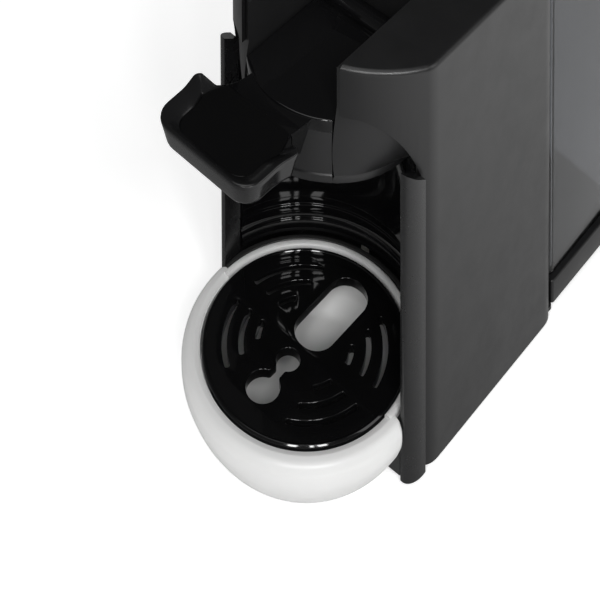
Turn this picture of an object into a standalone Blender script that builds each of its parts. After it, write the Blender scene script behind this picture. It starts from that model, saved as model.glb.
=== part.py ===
"""Pod coffee machine: a narrow tower with a round cup niche, a bowl-shaped drip tray under a round grille,
a head with a tongue-shaped lid over the pod holder, and a lift-out water tank behind.
Metres, +Z up, the front faces -Y, the origin is on the ground under the middle of the machine."""

import math

import bmesh
import bpy
from mathutils import Matrix, Vector

MM = 0.001
GAP = 0.0003

# Overall
HALF_WIDTH = 66.5 * MM
SHELL_WALL = 2.5 * MM
SHELL_TOP = 207 * MM
SHELL_REAR = 66 * MM
MACHINE_REAR = 135.5 * MM
NOSE_CENTRE_Y = -2 * MM
NOSE_RADIUS = 76.3 * MM
LEG_FRONT = -45 * MM
ARCH_TOP = 181.8 * MM
ARCH_FLAT = 40 * MM
ARCH_ACROSS = 24.5 * MM
ARCH_DOWN = 44 * MM
ARCH_END = 153.6 * MM

# Niche, tray and grille share one upright axis
CUP_Y = -60 * MM
GRILLE_TOP = 35 * MM
GRILLE_RADIUS = 52.5 * MM
GRILLE_THICK = 4.6 * MM
TRAY_RING = 57 * MM
TRAY_SEAT = 53.2 * MM
TRAY_BOTTOM = 4.3 * MM
COLUMN_FRONT = -57 * MM
COLUMN_INNER = 59.6 * MM
COLUMN_TOP = 160.3 * MM
COLUMN_SLOPE = 0.61
NICHE_RADIUS = 61.6 * MM
NICHE_TOP = 141.6 * MM

# Head
HEAD_Y = -35 * MM
HEAD_RADIUS = 47 * MM
HEAD_HALF = 60.5 * MM
HEAD_BOTTOM = 142 * MM
RECESS_HALF = 29.8 * MM
RECESS_REAR = -5 * MM
LID_HALF = 29.2 * MM
LID_TOP = 185 * MM
TONGUE_UNDER = 173 * MM
NECK_TOP = 177.5 * MM
LID_UNDER = 170.5 * MM
TONGUE_HALF = 32.2 * MM
TONGUE_FLARE = 2.6 * MM
TONGUE_TIP = -135.5 * MM
TONGUE_REAR = -97 * MM
NECK_HALF = 22 * MM
DISH_FLOOR = 180.5 * MM
HINGE_Y = -12 * MM
HINGE_Z = 179 * MM
BREW_Y = -42 * MM
POD_PIVOT_Y = -10 * MM
POD_PIVOT_Z = 149.5 * MM

# Tank
TANK_HALF = 62 * MM
TANK_FRONT = 67.5 * MM
TANK_BOTTOM = 18 * MM
TANK_TOP = 198 * MM
TANK_WALL = 2 * MM
TANK_LID_Y = 128 * MM
TANK_LID_Z = 201.6 * MM
VALVE_Y = 98 * MM

# Controls
BUTTON_Y = 30 * MM
BUTTON_RADIUS = 8.5 * MM
ROCKER_X = -62 * MM
ROCKER_Y = 45 * MM
ROCKER_Z = 34 * MM

for leftover in list(bpy.data.objects):
    bpy.data.objects.remove(leftover, do_unlink=True)

machine = bpy.data.collections.new("Pod coffee machine")
cutters = bpy.data.collections.new("Cutters")
bpy.context.scene.collection.children.link(machine)
bpy.context.scene.collection.children.link(cutters)


def material(name, colour, roughness, metallic=0.0):
    made = bpy.data.materials.new(name)
    made.use_nodes = True
    shader = made.node_tree.nodes["Principled BSDF"]
    shader.inputs["Base Color"].default_value = (*colour, 1)
    shader.inputs["Roughness"].default_value = roughness
    shader.inputs["Metallic"].default_value = metallic
    return made


def part(name, mesh, colour, roughness=0.4, metallic=0.0):
    """A named piece with its own material."""
    made = bpy.data.objects.new(name, mesh)
    mesh.name = name
    mesh.materials.append(material(name, colour, roughness, metallic))
    machine.objects.link(made)
    return made


def combine(made, mesh, operation):
    """Cuts a helper mesh from a piece, or adds it."""
    tool = bpy.data.objects.new(made.name + " " + operation.lower(), mesh)
    cutters.objects.link(tool)
    tool.hide_render = True
    tool.display_type = "WIRE"
    step = made.modifiers.new("Boolean", "BOOLEAN")
    step.operation = operation
    step.solver = "EXACT"
    step.object = tool


def cut(made, mesh):
    combine(made, mesh, "DIFFERENCE")


def add(made, mesh):
    combine(made, mesh, "UNION")


def loft(sections, closed=False, flat=False):
    """A solid skinned over sections that all hold the same number of points."""
    body = bmesh.new()
    rings = [[body.verts.new(point) for point in section] for section in sections]
    pairs = list(zip(rings, rings[1:]))
    if closed:
        pairs.append((rings[-1], rings[0]))
    else:
        body.faces.new(rings[0])
        body.faces.new(rings[-1])
    for lower, upper in pairs:
        count = len(lower)
        for i in range(count):
            j = (i + 1) % count
            body.faces.new((lower[i], lower[j], upper[j], upper[i]))
    bmesh.ops.recalc_face_normals(body, faces=body.faces)
    if not flat:
        bmesh.ops.triangulate(body, faces=[face for face in body.faces if len(face.verts) == 4])
    mesh = bpy.data.meshes.new("loft")
    body.to_mesh(mesh)
    body.free()
    return mesh


def at_height(outline, z):
    return [(x, y, z) for x, y in outline]


def prism(outline, low, high):
    """A plan outline raised between two heights."""
    return loft([at_height(outline, z) for z in (low, high)], flat=True)


def prism_y(outline, front, rear):
    """A front-view outline run along Y."""
    return loft([[(x, y, z) for x, z in outline] for y in (front, rear)], flat=True)


def box(x0, x1, y0, y1, z0, z1):
    return prism([(x0, y0), (x1, y0), (x1, y1), (x0, y1)], z0, z1)


def rounded(x0, x1, y0, y1, radii, steps=6):
    """A rectangle outline with a radius for each corner, from the low-low corner anticlockwise."""
    corners = ((x0, y0, 180), (x1, y0, 270), (x1, y1, 0), (x0, y1, 90))
    outline = []
    for (x, y, start), radius in zip(corners, radii):
        if radius == 0:
            outline.append((x, y))
            continue
        cx = x + radius if x == x0 else x - radius
        cy = y + radius if y == y0 else y - radius
        for i in range(steps + 1):
            angle = math.radians(start + 90 * i / steps)
            outline.append((cx + radius * math.cos(angle), cy + radius * math.sin(angle)))
    return outline


def turned(profile, centre, start=0, sweep=360, steps=48):
    """A radius and height profile turned about an upright axis."""
    count = steps if sweep == 360 else steps + 1
    sections = []
    for i in range(count):
        angle = math.radians(start + sweep * i / steps)
        across, along = math.cos(angle), math.sin(angle)
        sections.append([(centre[0] + r * across, centre[1] + r * along, z) for r, z in profile])
    mesh = loft(sections, closed=sweep == 360)
    body = bmesh.new()
    body.from_mesh(mesh)
    bmesh.ops.remove_doubles(body, verts=body.verts, dist=0.000001)
    loose = [edge for edge in body.edges if not edge.link_faces]
    bmesh.ops.delete(body, geom=loose, context="EDGES")
    body.to_mesh(mesh)
    body.free()
    return mesh


def ring(inner, outer, low, high, centre, steps=32):
    return turned([(inner, low), (outer, low), (outer, high), (inner, high)], centre, steps=steps)


def disc(radius, low, high, centre, steps=32):
    """An upright cylinder."""
    body = bmesh.new()
    place = Matrix.Translation((centre[0], centre[1], (low + high) / 2))
    bmesh.ops.create_cone(
        body, cap_ends=True, segments=steps, radius1=radius, radius2=radius, depth=high - low, matrix=place
    )
    mesh = bpy.data.meshes.new("disc")
    body.to_mesh(mesh)
    body.free()
    return mesh


def bar(radius, start, end, steps=24):
    """A round bar between two points."""
    start, end = Vector(start), Vector(end)
    run = end - start
    turn = Vector((0, 0, 1)).rotation_difference(run).to_matrix().to_4x4()
    body = bmesh.new()
    bmesh.ops.create_cone(
        body,
        cap_ends=True,
        segments=steps,
        radius1=radius,
        radius2=radius,
        depth=run.length,
        matrix=Matrix.Translation((start + end) / 2) @ turn,
    )
    mesh = bpy.data.meshes.new("bar")
    body.to_mesh(mesh)
    body.free()
    return mesh


def hose(name, points, radius, colour):
    """A flexible pipe along a smooth path, ends filled."""
    path = bpy.data.curves.new(name, "CURVE")
    path.dimensions = "3D"
    path.bevel_depth = radius
    path.bevel_resolution = 2
    path.use_fill_caps = True
    path.resolution_u = 5
    spline = path.splines.new("BEZIER")
    spline.bezier_points.add(len(points) - 1)
    for knot, point in zip(spline.bezier_points, points):
        knot.co = [value * MM for value in point]
        knot.handle_left_type = "AUTO"
        knot.handle_right_type = "AUTO"
    holder = bpy.data.objects.new(name + " path", path)
    mesh = bpy.data.meshes.new_from_object(holder)
    mesh.materials.clear()
    bpy.data.objects.remove(holder, do_unlink=True)
    body = bmesh.new()
    body.from_mesh(mesh)
    bmesh.ops.remove_doubles(body, verts=body.verts, dist=0.00002)
    bmesh.ops.recalc_face_normals(body, faces=body.faces)
    body.to_mesh(mesh)
    body.free()
    return part(name, mesh, colour, 0.6)


def smooth(made, angle=35):
    """Shades the round faces smooth and keeps the hard edges."""
    limit = math.radians(angle)
    body = bmesh.new()
    body.from_mesh(made.data)
    for face in body.faces:
        face.smooth = True
    for edge in body.edges:
        edge.smooth = len(edge.link_faces) == 2 and edge.calc_face_angle(0) < limit
    body.to_mesh(made.data)
    body.free()


def nose_y(x, inset=0.0):
    radius = NOSE_RADIUS - inset
    return NOSE_CENTRE_Y - math.sqrt(radius * radius - x * x)


def tower_outline(inset):
    """The plan of the shell: round nose, straight sides, rounded rear corners."""
    half = HALF_WIDTH - inset
    edge = 62.4 * MM - inset
    count = 20
    nose = [-edge + 2 * edge * i / count for i in range(count + 1)]
    outline = [(x, nose_y(x, inset)) for x in nose]
    corner = [(edge + 0.7 * (half - edge), -45.6 * MM + inset), (half, -43.5 * MM + inset)]
    rear = SHELL_REAR - inset
    sweep = 10 * MM - inset
    back = [(half, rear - sweep)]
    for i in range(1, 5):
        angle = math.radians(90 * i / 4)
        back.append((half - sweep + sweep * math.cos(angle), rear - sweep + sweep * math.sin(angle)))
    right = outline + corner + back
    left = [(-x, y) for x, y in reversed(corner + back)]
    return right + left


def arch_height(x):
    """Height of the shell's lower front edge at a distance from the middle."""
    reach = min(max(abs(x) - ARCH_FLAT, 0), ARCH_ACROSS) / ARCH_ACROSS
    return max(ARCH_TOP - ARCH_DOWN * (1 - math.sqrt(1 - reach * reach)), ARCH_END)


def arch_outline(steps=40):
    """The doorway under the shell's front in front view."""
    half = HALF_WIDTH + 0.5 * MM
    outline = [(-half, -5 * MM), (half, -5 * MM), (half, ARCH_END)]
    for i in range(steps + 1):
        x = (ARCH_FLAT + ARCH_ACROSS) * 0.93 * math.cos(math.pi * i / steps)
        outline.append((x, arch_height(x)))
    return outline + [(-half, ARCH_END)]


# ---------------------------------------------------------------- fixed housing
base_front = []
for i in range(13):
    angle = math.radians(195 + 150 * i / 12)
    base_front.append((46 * MM * math.cos(angle), CUP_Y + 46 * MM * math.sin(angle)))
base_side = [
    (46 * MM, -44 * MM),
    (63.5 * MM, -36 * MM),
    (63.5 * MM, 67 * MM),
    (60 * MM, 72 * MM),
    (60 * MM, 118 * MM),
    (50 * MM, 130 * MM),
]
base_outline = base_front + base_side + [(-x, y) for x, y in reversed(base_side)]
base_plate = part("base_plate", prism(base_outline, 2 * MM, 4 * MM), (0.03, 0.03, 0.032))

outer_shell = part("outer_shell", prism(tower_outline(0), 2 * MM, SHELL_TOP), (0.035, 0.035, 0.038), 0.35)
cut(outer_shell, prism(tower_outline(SHELL_WALL), -5 * MM, SHELL_TOP - SHELL_WALL))
cut(outer_shell, prism_y(arch_outline(), -160 * MM, LEG_FRONT))
cut(outer_shell, box(-33 * MM, 33 * MM, -160 * MM, -1 * MM, 150 * MM, 230 * MM))
cut(outer_shell, box(-63.8 * MM, 63.8 * MM, 40 * MM, 70 * MM, -5 * MM, 4.3 * MM))
cut(outer_shell, box(1 * MM, 13 * MM, 60 * MM, 70 * MM, -5 * MM, 13 * MM))
cut(outer_shell, disc(BUTTON_RADIUS + 0.6 * MM, 195 * MM, 215 * MM, (0, BUTTON_Y)))
rocker_hole = [ROCKER_Y - 8 * MM, ROCKER_Y + 8 * MM, ROCKER_Z - 12.3 * MM, ROCKER_Z + 12.3 * MM]
cut(outer_shell, box(-80 * MM, -55 * MM, *rocker_hole))

for side, sign in (("left", -1), ("right", 1)):
    inner, outer = COLUMN_INNER, HALF_WIDTH - 0.1 * MM
    radii = (0, 5 * MM, 0, 0) if sign > 0 else (5 * MM, 0, 0, 0)
    ends = sorted((sign * inner, sign * outer))
    outline = rounded(ends[0], ends[1], COLUMN_FRONT, LEG_FRONT - GAP, radii)
    foot = at_height(outline, 2 * MM)
    top = [(x, y, COLUMN_TOP - COLUMN_SLOPE * (y - COLUMN_FRONT)) for x, y in outline]
    smooth(part("column_" + side, loft([foot, top]), (0.03, 0.03, 0.033), 0.25))

liner_outer = 63.4 * MM
groove = 1.0 * MM
liner_profile = [(liner_outer, 35.3 * MM), (liner_outer, NICHE_TOP), (NICHE_RADIUS, NICHE_TOP)]
for low, high in ((50, 55), (42, 45)):
    liner_profile += [
        (NICHE_RADIUS, high * MM),
        (NICHE_RADIUS + groove, high * MM),
        (NICHE_RADIUS + groove, low * MM),
        (NICHE_RADIUS, low * MM),
    ]
liner_profile.append((NICHE_RADIUS, 35.3 * MM))
niche_liner = part(
    "niche_liner", turned(liner_profile, (0, CUP_Y), 15, 150, 36), (0.01, 0.01, 0.011), 0.08
)
smooth(niche_liner)

cradle_outer = []
cradle_inner = []
for step in range(33):
    angle = math.radians(4 + 172 * step / 32)
    reach = min(61.3 * MM, 59.3 * MM / max(abs(math.cos(angle)), 0.1))
    cradle_outer.append((reach * math.cos(angle), CUP_Y + reach * math.sin(angle)))
    cradle_inner.append((57.9 * MM * math.cos(angle), CUP_Y + 57.9 * MM * math.sin(angle)))
cradle_outline = cradle_outer + cradle_inner[::-1]
tray_cradle = part("tray_cradle", prism(cradle_outline, TRAY_BOTTOM, 34 * MM), (0.035, 0.035, 0.037), 0.35)
toe_profile = [
    (52 * MM, TRAY_BOTTOM),
    (58.2 * MM, TRAY_BOTTOM),
    (58.2 * MM, 11.8 * MM),
    (57.8 * MM, 11.8 * MM),
    (52 * MM, 5.2 * MM),
]
add(tray_cradle, turned(toe_profile, (0, CUP_Y), 4, 172, 32))
smooth(tray_cradle)


def head_section(kind):
    """Plan section of the head: the lower rim, the line under the shell's arch, or the top."""
    points = []
    count = 24
    for i in range(count + 1):
        angle = math.radians(-90 + 180 * i / count)
        if kind == "rim":
            x = HEAD_RADIUS * math.sin(angle)
            y = HEAD_Y - HEAD_RADIUS * math.cos(angle)
            points.append((x, y, HEAD_BOTTOM))
        else:
            x = HEAD_HALF * math.sin(angle)
            y = nose_y(x, SHELL_WALL + 0.4 * MM)
            z = arch_height(x) + 2 * MM if kind == "arch" else SHELL_TOP - SHELL_WALL - 0.4 * MM
            points.append((x, y, z))
    last = points[-1]
    points.append((last[0], 0.5 * MM, last[2]))
    points.append((-last[0], 0.5 * MM, last[2]))
    return points


head_sections = [head_section("rim"), head_section("arch"), head_section("top")]
head_housing = part("head_housing", loft(head_sections), (0.03, 0.03, 0.033), 0.2)
cut(head_housing, box(-RECESS_HALF, RECESS_HALF, -160 * MM, RECESS_REAR, HEAD_BOTTOM + 3 * MM, 230 * MM))
for sign in (-1, 1):
    ends = sorted((sign * 33 * MM, sign * 58 * MM))
    cut(head_housing, box(ends[0], ends[1], -38 * MM, -5 * MM, 156 * MM, 230 * MM))
apron_gap = [(43.1 * MM, 138 * MM), (60 * MM, 138 * MM), (60 * MM, 150 * MM), (43.1 * MM, 150 * MM)]
cut(head_housing, turned(apron_gap, (0, HEAD_Y), 270 - 39.3, 2 * 39.3, 16))
cut(head_housing, disc(12 * MM, 120 * MM, 150 * MM, (0, BREW_Y)))
cut(head_housing, bar(2.3 * MM, (-31.5 * MM, HINGE_Y, HINGE_Z), (31.5 * MM, HINGE_Y, HINGE_Z)))

hinge_pin = part(
    "hinge_pin",
    bar(2 * MM, (-31 * MM, HINGE_Y, HINGE_Z), (31 * MM, HINGE_Y, HINGE_Z)),
    (0.55, 0.55, 0.56),
    0.3,
    1.0,
)
smooth(hinge_pin)

spout_profile = [
    (8 * MM, 128 * MM),
    (10 * MM, 128 * MM),
    (11.6 * MM, 133 * MM),
    (11.6 * MM, 138.5 * MM),
    (16 * MM, 139 * MM),
    (16 * MM, 141.7 * MM),
    (11.6 * MM, 141.7 * MM),
    (11.6 * MM, 145.2 * MM),
    (8 * MM, 145.2 * MM),
]
smooth(part("spout", turned(spout_profile, (0, BREW_Y), steps=32), (0.02, 0.02, 0.022), 0.3))

# ---------------------------------------------------------------- inside the tower
boiler = disc(21 * MM, 118 * MM, 172 * MM, (18 * MM, 34 * MM))
smooth(part("thermoblock", boiler, (0.6, 0.6, 0.6), 0.4, 1.0))
smooth(part("pump", disc(16 * MM, 24 * MM, 92 * MM, (-32 * MM, 32 * MM)), (0.7, 0.7, 0.68), 0.5))
for level, name in ((34, "pump_mount_lower"), (74, "pump_mount_upper")):
    sleeve = ring(16.3 * MM, 20.5 * MM, level * MM, (level + 8) * MM, (-32 * MM, 32 * MM))
    smooth(part(name, sleeve, (0.02, 0.02, 0.02), 0.8))
smooth(part("flow_meter", disc(13 * MM, 22 * MM, 38 * MM, (34 * MM, 36 * MM)), (0.8, 0.8, 0.78), 0.4))
silicone = (0.75, 0.75, 0.72)
pump_route = [(33, 20, 29), (20, 12, 20), (-18, 12, 12), (-31, 26, 13), (-32, 32, 22)]
hose("hose_tank", [(6, 92, 8), (6, 66, 9), (26, 44, 10), (34, 36, 20)], 2.4 * MM, silicone)
hose("hose_pump", pump_route, 2.4 * MM, silicone)
hose("hose_heater", [(-32, 32, 94.5), (-26, 31, 103), (8, 33, 106), (18, 34, 115)], 2.4 * MM, silicone)
part("control_board", box(-8 * MM, 50 * MM, 59.4 * MM, 61 * MM, 50 * MM, 112 * MM), (0.02, 0.14, 0.06), 0.5)
part("board_relay", box(6 * MM, 30 * MM, 46 * MM, 59 * MM, 70 * MM, 88 * MM), (0.05, 0.05, 0.06), 0.5)
switch_sides = [-6 * MM, 6 * MM, BUTTON_Y - 5 * MM, BUTTON_Y + 5 * MM]
part("start_switch", box(*switch_sides, 184 * MM, 194 * MM), (0.04, 0.04, 0.04))
led_ring = part(
    "led_ring",
    ring(BUTTON_RADIUS + 0.6 * MM, 12 * MM, SHELL_TOP + 0.2 * MM, SHELL_TOP + 1.4 * MM, (0, BUTTON_Y)),
    (0.8, 0.8, 0.78),
    0.3,
)
smooth(led_ring)

frame_sides = [ROCKER_Y - 7.7 * MM, ROCKER_Y + 7.7 * MM, ROCKER_Z - 12 * MM, ROCKER_Z + 12 * MM]
well_sides = [ROCKER_Y - 6 * MM, ROCKER_Y + 6 * MM, ROCKER_Z - 10 * MM, ROCKER_Z + 10 * MM]
rocker_frame = part("rocker_frame", box(-66.3 * MM, -56 * MM, *frame_sides), (0.02, 0.02, 0.02))
cut(rocker_frame, box(-80 * MM, -50 * MM, *well_sides))

dock_plan = rounded(-64 * MM, 64 * MM, TANK_FRONT, MACHINE_REAR, (0, 0, 15 * MM, 15 * MM))
tank_dock = part("tank_dock", prism(dock_plan, TRAY_BOTTOM, 17 * MM), (0.035, 0.035, 0.038))
cut(tank_dock, disc(9 * MM, 13 * MM, 30 * MM, (0, VALVE_Y)))
cut(tank_dock, box(2 * MM, 10 * MM, 50 * MM, 97 * MM, -5 * MM, 11.5 * MM))
cut(tank_dock, bar(5.3 * MM, (-40 * MM, 120 * MM, 10.6 * MM), (-40 * MM, 150 * MM, 10.6 * MM)))
smooth(tank_dock)
seal_ring = ring(5 * MM, 8.6 * MM, 13.3 * MM, 16.4 * MM, (0, VALVE_Y))
dock_seal = part("dock_seal", seal_ring, (0.55, 0.1, 0.06), 0.7)
smooth(dock_seal)
inlet = bar(5 * MM, (-40 * MM, 121 * MM, 10.6 * MM), (-40 * MM, MACHINE_REAR - 0.3 * MM, 10.6 * MM))
mains_inlet = part("mains_inlet", inlet, (0.02, 0.02, 0.02), 0.6)
cut(mains_inlet, bar(3 * MM, (-40 * MM, 126 * MM, 10.6 * MM), (-40 * MM, 150 * MM, 10.6 * MM)))
smooth(mains_inlet)

for name, x, y in (
    ("foot_front_left", -37, -62),
    ("foot_front_right", 37, -62),
    ("foot_rear_left", -50, 116),
    ("foot_rear_right", 50, 116),
):
    smooth(part(name, disc(7 * MM, 0, 1.7 * MM, (x * MM, y * MM), 24), (0.02, 0.02, 0.02), 0.8))
for name, x, y in (
    ("screw_front_left", -56, -30),
    ("screw_front_right", 56, -30),
    ("screw_rear_left", -56, 90),
    ("screw_rear_right", 56, 90),
):
    screw = part(name, disc(3 * MM, 0.5 * MM, 1.7 * MM, (x * MM, y * MM), 16), (0.6, 0.6, 0.6), 0.3, 1.0)
    cut(screw, box((x - 2) * MM, (x + 2) * MM, (y - 0.4) * MM, (y + 0.4) * MM, -1 * MM, 1 * MM))

# ---------------------------------------------------------------- lid with its tongue
lid_pivot = (0, HINGE_Y, HINGE_Z)


def tongue_outline(depth, steps=7):
    """Plan of the tongue drawn in by a depth: rounded front, sides that flare backwards."""
    half = TONGUE_HALF - depth
    flare = half + TONGUE_FLARE
    tip = TONGUE_TIP + depth
    rear = TONGUE_REAR - depth
    radius = 14 * MM - depth
    outline = [(-NECK_HALF, rear), (-flare + 1.5 * MM, rear - 3 * MM)]
    outline += [(-flare, rear - 6 * MM), (-half - 1 * MM, rear - 17 * MM)]
    for i in range(steps + 1):
        angle = math.radians(180 + 90 * i / steps)
        x = radius - half + radius * math.cos(angle)
        outline.append((x, tip + radius + radius * math.sin(angle)))
    return outline + [(-x, y) for x, y in reversed(outline)]


def neck_section(y, top_half, top, middle, bottom_half, bottom):
    """Cross-section of the neck that joins the tongue to the apron, hollow along its top."""
    across = [(-top_half, top), (-top_half / 2, middle), (top_half / 2, middle), (top_half, top)]
    return [(x, y, z) for x, z in across + [(bottom_half, bottom), (-bottom_half, bottom)]]


tongue = [at_height(tongue_outline(2 * MM), TONGUE_UNDER), at_height(tongue_outline(0), LID_TOP)]
dish = [
    at_height(tongue_outline(4.2 * MM), DISH_FLOOR),
    at_height(tongue_outline(2 * MM), LID_TOP + 0.5 * MM),
]
lid_frame = part("lid_frame", loft(tongue), (0.035, 0.035, 0.038), 0.25)
cut(lid_frame, loft(dish))
open_sides = [-24.5 * MM, 24.5 * MM, -108 * MM, -90 * MM]
cut(lid_frame, box(*open_sides, DISH_FLOOR + 0.1 * MM, LID_TOP + 5 * MM))
neck = [
    neck_section(-101.3 * MM, 25.3 * MM, 180.2 * MM, 179 * MM, 24.7 * MM, 174.3 * MM),
    neck_section(-94.7 * MM, 21.8 * MM, 179.5 * MM, 178 * MM, 19 * MM, 168 * MM),
    neck_section(-86.7 * MM, 20.4 * MM, 178.3 * MM, 177.2 * MM, 16 * MM, 160 * MM),
    neck_section(-76.7 * MM, 20.3 * MM, 177.2 * MM, 176.4 * MM, 14.5 * MM, 156.2 * MM),
]
add(lid_frame, loft(neck))
apron_half = math.degrees(math.asin(LID_HALF / HEAD_RADIUS))
apron_profile = [
    (43.5 * MM, HEAD_BOTTOM + 0.5 * MM),
    (47 * MM, HEAD_BOTTOM + 0.5 * MM),
    (47 * MM, NECK_TOP),
    (43.5 * MM, NECK_TOP),
]
add(lid_frame, turned(apron_profile, (0, HEAD_Y), 270 - apron_half, 2 * apron_half, 16))
front_arc = []
for i in range(17):
    angle = math.radians(270 - apron_half + 2 * apron_half * i / 16)
    front_arc.append((45 * MM * math.cos(angle), HEAD_Y + 45 * MM * math.sin(angle)))
lid_slab = front_arc + [(LID_HALF - 0.1 * MM, HINGE_Y), (0.1 * MM - LID_HALF, HINGE_Y)]
add(lid_frame, prism(lid_slab, LID_UNDER, NECK_TOP - 0.1 * MM))
knuckle = bar(5.5 * MM, (-LID_HALF, HINGE_Y, HINGE_Z), (LID_HALF, HINGE_Y, HINGE_Z))
add(lid_frame, knuckle)
cut(lid_frame, bar(2.3 * MM, (-40 * MM, HINGE_Y, HINGE_Z), (40 * MM, HINGE_Y, HINGE_Z)))
smooth(lid_frame)

inset = prism(tongue_outline(4.6 * MM), DISH_FLOOR + 0.3 * MM, DISH_FLOOR + 1.6 * MM)
part("lid_inset", inset, (0.008, 0.008, 0.009), 0.06)
pierce_disc = disc(20 * MM, 163 * MM, LID_UNDER - GAP, (0, BREW_Y))
smooth(part("pierce_unit", pierce_disc, (0.6, 0.6, 0.6), 0.3, 0.8))
pierce_ring = ring(14 * MM, 18 * MM, 161.5 * MM, 162.7 * MM, (0, BREW_Y))
smooth(part("pierce_seal", pierce_ring, (0.5, 0.1, 0.06), 0.7))

# ---------------------------------------------------------------- pod holder
pod_pivot = (0, POD_PIVOT_Y, POD_PIVOT_Z)
cradle_profile = [(20 * MM, 147 * MM), (24 * MM, 147 * MM), (27 * MM, 152 * MM), (20 * MM, 152 * MM)]
pod_holder = part("pod_holder", turned(cradle_profile, (0, BREW_Y)), (0.1, 0.1, 0.11))
for sign in (-1, 1):
    ends = sorted((sign * 15 * MM, sign * 20 * MM))
    add(pod_holder, box(ends[0], ends[1], -28 * MM, POD_PIVOT_Y + 2 * MM, 147.5 * MM, 151.5 * MM))
smooth(pod_holder)

# ---------------------------------------------------------------- drip tray and grille
tray_profile = [
    (TRAY_SEAT, GRILLE_TOP - 0.6 * MM),
    (TRAY_SEAT + 1.2 * MM, GRILLE_TOP + 0.6 * MM),
    (TRAY_RING - 1.2 * MM, GRILLE_TOP + 0.6 * MM),
    (TRAY_RING, GRILLE_TOP - 0.8 * MM),
    (TRAY_RING, 12 * MM),
    (50 * MM, TRAY_BOTTOM),
    (0, TRAY_BOTTOM),
    (0, TRAY_BOTTOM + 2.2 * MM),
    (44 * MM, TRAY_BOTTOM + 2.2 * MM),
    (50.5 * MM, 14 * MM),
    (50.5 * MM, GRILLE_TOP - GRILLE_THICK - GAP),
    (TRAY_SEAT, GRILLE_TOP - GRILLE_THICK - GAP),
]
drip_tray = part("drip_tray", turned(tray_profile, (0, CUP_Y), steps=64), (0.85, 0.85, 0.84), 0.3)
bulge_profile = [
    (55 * MM, GRILLE_TOP - 1 * MM),
    (57.8 * MM, GRILLE_TOP - 1 * MM),
    (60.4 * MM, 31 * MM),
    (62.2 * MM, 26 * MM),
    (62.4 * MM, 22 * MM),
    (61.2 * MM, 16 * MM),
    (58 * MM, 10.5 * MM),
    (53 * MM, 6 * MM),
    (50 * MM, TRAY_BOTTOM),
    (48 * MM, TRAY_BOTTOM),
    (52 * MM, 9 * MM),
    (55 * MM, 14 * MM),
]
rear_limit = math.degrees(math.asin((COLUMN_FRONT - 0.6 * MM - CUP_Y) / (62.4 * MM)))
add(drip_tray, turned(bulge_profile, (0, CUP_Y), 180 - rear_limit, 180 + 2 * rear_limit, 40))
smooth(drip_tray)

grille_profile = [
    (0, GRILLE_TOP - GRILLE_THICK),
    (GRILLE_RADIUS - 0.8 * MM, GRILLE_TOP - GRILLE_THICK),
    (GRILLE_RADIUS, GRILLE_TOP - GRILLE_THICK + 0.8 * MM),
    (GRILLE_RADIUS, GRILLE_TOP - 1.4 * MM),
    (GRILLE_RADIUS - 1.4 * MM, GRILLE_TOP),
    (0, GRILLE_TOP),
]
drip_grille = part("drip_grille", turned(grille_profile, (0, CUP_Y), steps=72), (0.01, 0.01, 0.011), 0.08)


def arc_slot(radius, width, start, end, steps=9):
    """Outline of a curved slot with round ends."""
    outline = []
    for reach, first, last in ((radius + width / 2, start, end), (radius - width / 2, end, start)):
        for i in range(steps + 1):
            angle = math.radians(first + (last - first) * i / steps)
            outline.append((reach * math.cos(angle), reach * math.sin(angle)))
        tip = math.radians(last)
        for i in (1, 2):
            swing = tip + math.pi * i / 3 if last == end else tip + math.pi + math.pi * i / 3
            outline.append(
                (
                    radius * math.cos(tip) + width / 2 * math.cos(swing),
                    radius * math.sin(tip) + width / 2 * math.sin(swing),
                )
            )
    return outline


def through_grille(outline):
    placed = [(x, y + CUP_Y) for x, y in outline]
    return prism(placed, GRILLE_TOP - 10 * MM, GRILLE_TOP + 5 * MM)


for radius, start, end in ((41, 8, 62), (32.5, 10, 55), (24, 13, 40)):
    outline = arc_slot(radius * MM, 3.4 * MM, start, end)
    for flip_x in (1, -1):
        for flip_y in (1, -1):
            placed = [(x * flip_x, y * flip_y) for x, y in outline]
            cut(drip_grille, through_grille(placed))
pill = rounded(-11.5 * MM, 11.5 * MM, -2.5 * MM, 43.5 * MM, (11.5 * MM,) * 4, 8)
cut(drip_grille, through_grille(pill))
dumbbell = []
for cy, radius, start, end in ((-31, 9, 110, 430), (-12.5, 6.5, -65, 245)):
    for i in range(17):
        angle = math.radians(start + (end - start) * i / 16)
        dumbbell.append((radius * MM * math.cos(angle), (cy + radius * math.sin(angle)) * MM))
cut(drip_grille, through_grille(dumbbell))

# ---------------------------------------------------------------- water tank
tank_rear = MACHINE_REAR - 2 * MM
tank_corners = (4 * MM, 4 * MM, 14 * MM, 14 * MM)
tank_outline = rounded(-TANK_HALF, TANK_HALF, TANK_FRONT, tank_rear, tank_corners, 4)
hollow_outline = rounded(
    -TANK_HALF + TANK_WALL,
    TANK_HALF - TANK_WALL,
    TANK_FRONT + TANK_WALL,
    MACHINE_REAR - 4 * MM,
    (2 * MM, 2 * MM, 12 * MM, 12 * MM),
    4,
)
water_tank = part("water_tank", prism(tank_outline, TANK_BOTTOM, TANK_TOP), (0.25, 0.26, 0.28), 0.1)
cut(water_tank, prism(hollow_outline, TANK_BOTTOM + 2.5 * MM, TANK_TOP + 20 * MM))
cut(water_tank, disc(3.6 * MM, 10 * MM, 30 * MM, (0, VALVE_Y), 24))
for sign in (-1, 1):
    ends = sorted((sign * 21 * MM, sign * 25 * MM))
    add(water_tank, box(ends[0], ends[1], 125 * MM, 132.8 * MM, 190 * MM, 204.6 * MM))
cut(water_tank, bar(1.8 * MM, (-30 * MM, TANK_LID_Y, TANK_LID_Z), (30 * MM, TANK_LID_Y, TANK_LID_Z), 16))
smooth(water_tank)
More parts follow.
